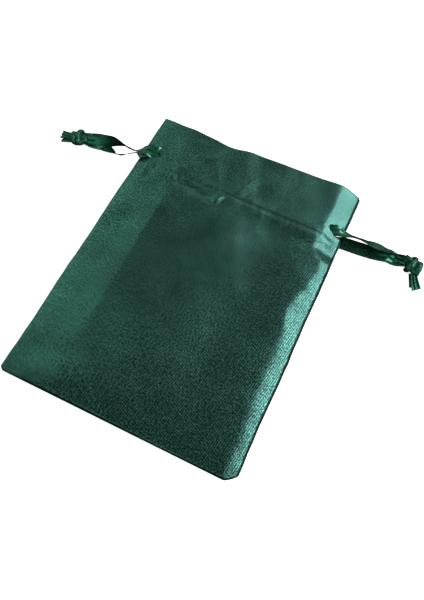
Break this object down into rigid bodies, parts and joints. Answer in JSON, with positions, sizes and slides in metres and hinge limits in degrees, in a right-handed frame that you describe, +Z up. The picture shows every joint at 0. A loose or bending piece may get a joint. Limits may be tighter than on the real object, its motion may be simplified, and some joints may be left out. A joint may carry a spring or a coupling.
{
  "type": "drawstring gift sack",
  "caption": "Flat satin gift sack with a hemmed mouth, closed by knotted ribbons that run through a tunnel and leave it at the side seams.",
  "frame": {"origin": "middle of the sack's underside, on the surface that it lies on", "axes": "+X across the sack to the right ribbon, +Y from the bottom seam to the mouth, +Z up out of the front panel"},
  "size_m": [0.183, 0.14, 0.0088],
  "materials": {
    "satin": "deep green polyester satin, glossy along its floats",
    "satin_wrong_side": "matt wrong side of the same satin, with cut edges",
    "ribbon": "emerald satin ribbon with a fine woven edge",
    "thread": "green polyester sewing thread"
  },
  "bodies": {
    "sack": {"front_panel": "satin", "back_panel": "satin", "front_hem": "satin", "back_hem": "satin", "front_hem_stitches": "thread", "back_hem_stitches": "thread", "bottom_seam_allowance": "satin_wrong_side", "bottom_seam_stitches": "thread"},
    "left_side": {"left_seam_allowance": "satin_wrong_side", "left_seam_stitches": "thread"},
    "left_ribbon": {"left_ribbon_front_run": "ribbon", "left_ribbon_back_run": "ribbon", "left_ribbon_turn": "ribbon"},
    "left_loop": {"left_ribbon_front_strand": "ribbon", "left_ribbon_back_strand": "ribbon", "left_ribbon_knot": "ribbon", "left_ribbon_tails": "ribbon"},
    "right_side": {"right_seam_allowance": "satin_wrong_side", "right_seam_stitches": "thread"},
    "right_ribbon": {"right_ribbon_front_run": "ribbon", "right_ribbon_back_run": "ribbon", "right_ribbon_turn": "ribbon"},
    "right_loop": {"right_ribbon_front_strand": "ribbon", "right_ribbon_back_strand": "ribbon", "right_ribbon_knot": "ribbon", "right_ribbon_tails": "ribbon"}
  },
  "joints": [
    {"name": "left_ribbon_pull", "type": "slide", "parent": "sack", "child": "left_ribbon", "axis": [-1, 0, 0], "range_m": [0, 0.025]},
    {"name": "left_loop_swing", "type": "hinge", "parent": "left_ribbon", "child": "left_loop", "pos_m": [-0.051, 0.05, 0.004], "axis": [0, 0, 1], "range_deg": [-35, 35]},
    {"name": "right_ribbon_pull", "type": "slide", "parent": "sack", "child": "right_ribbon", "axis": [1, 0, 0], "range_m": [0, 0.025]},
    {"name": "right_loop_swing", "type": "hinge", "parent": "right_ribbon", "child": "right_loop", "pos_m": [0.051, 0.044, 0.004], "axis": [0, 0, 1], "range_deg": [-35, 35]},
    {"name": "left_side_gather", "type": "hinge", "parent": "sack", "child": "left_side", "pos_m": [-0.05, -0.07, 0.0032], "axis": [0, 0, -1], "range_deg": [0, 12.1], "deforming": ["front_panel", "back_panel", "front_hem", "back_hem", "front_hem_stitches", "back_hem_stitches"]},
    {"name": "right_side_gather", "type": "hinge", "parent": "sack", "child": "right_side", "pos_m": [0.05, -0.07, 0.0032], "axis": [0, 0, 1], "range_deg": [0, 12.1], "deforming": ["front_panel", "back_panel", "front_hem", "back_hem", "front_hem_stitches", "back_hem_stitches"]}
  ],
  "couplings": [
    {"joint": "right_side_gather", "follows": "left_ribbon_pull", "rad_per_m": 8.4},
    {"joint": "left_side_gather", "follows": "right_ribbon_pull", "rad_per_m": 8.4}
  ]
}
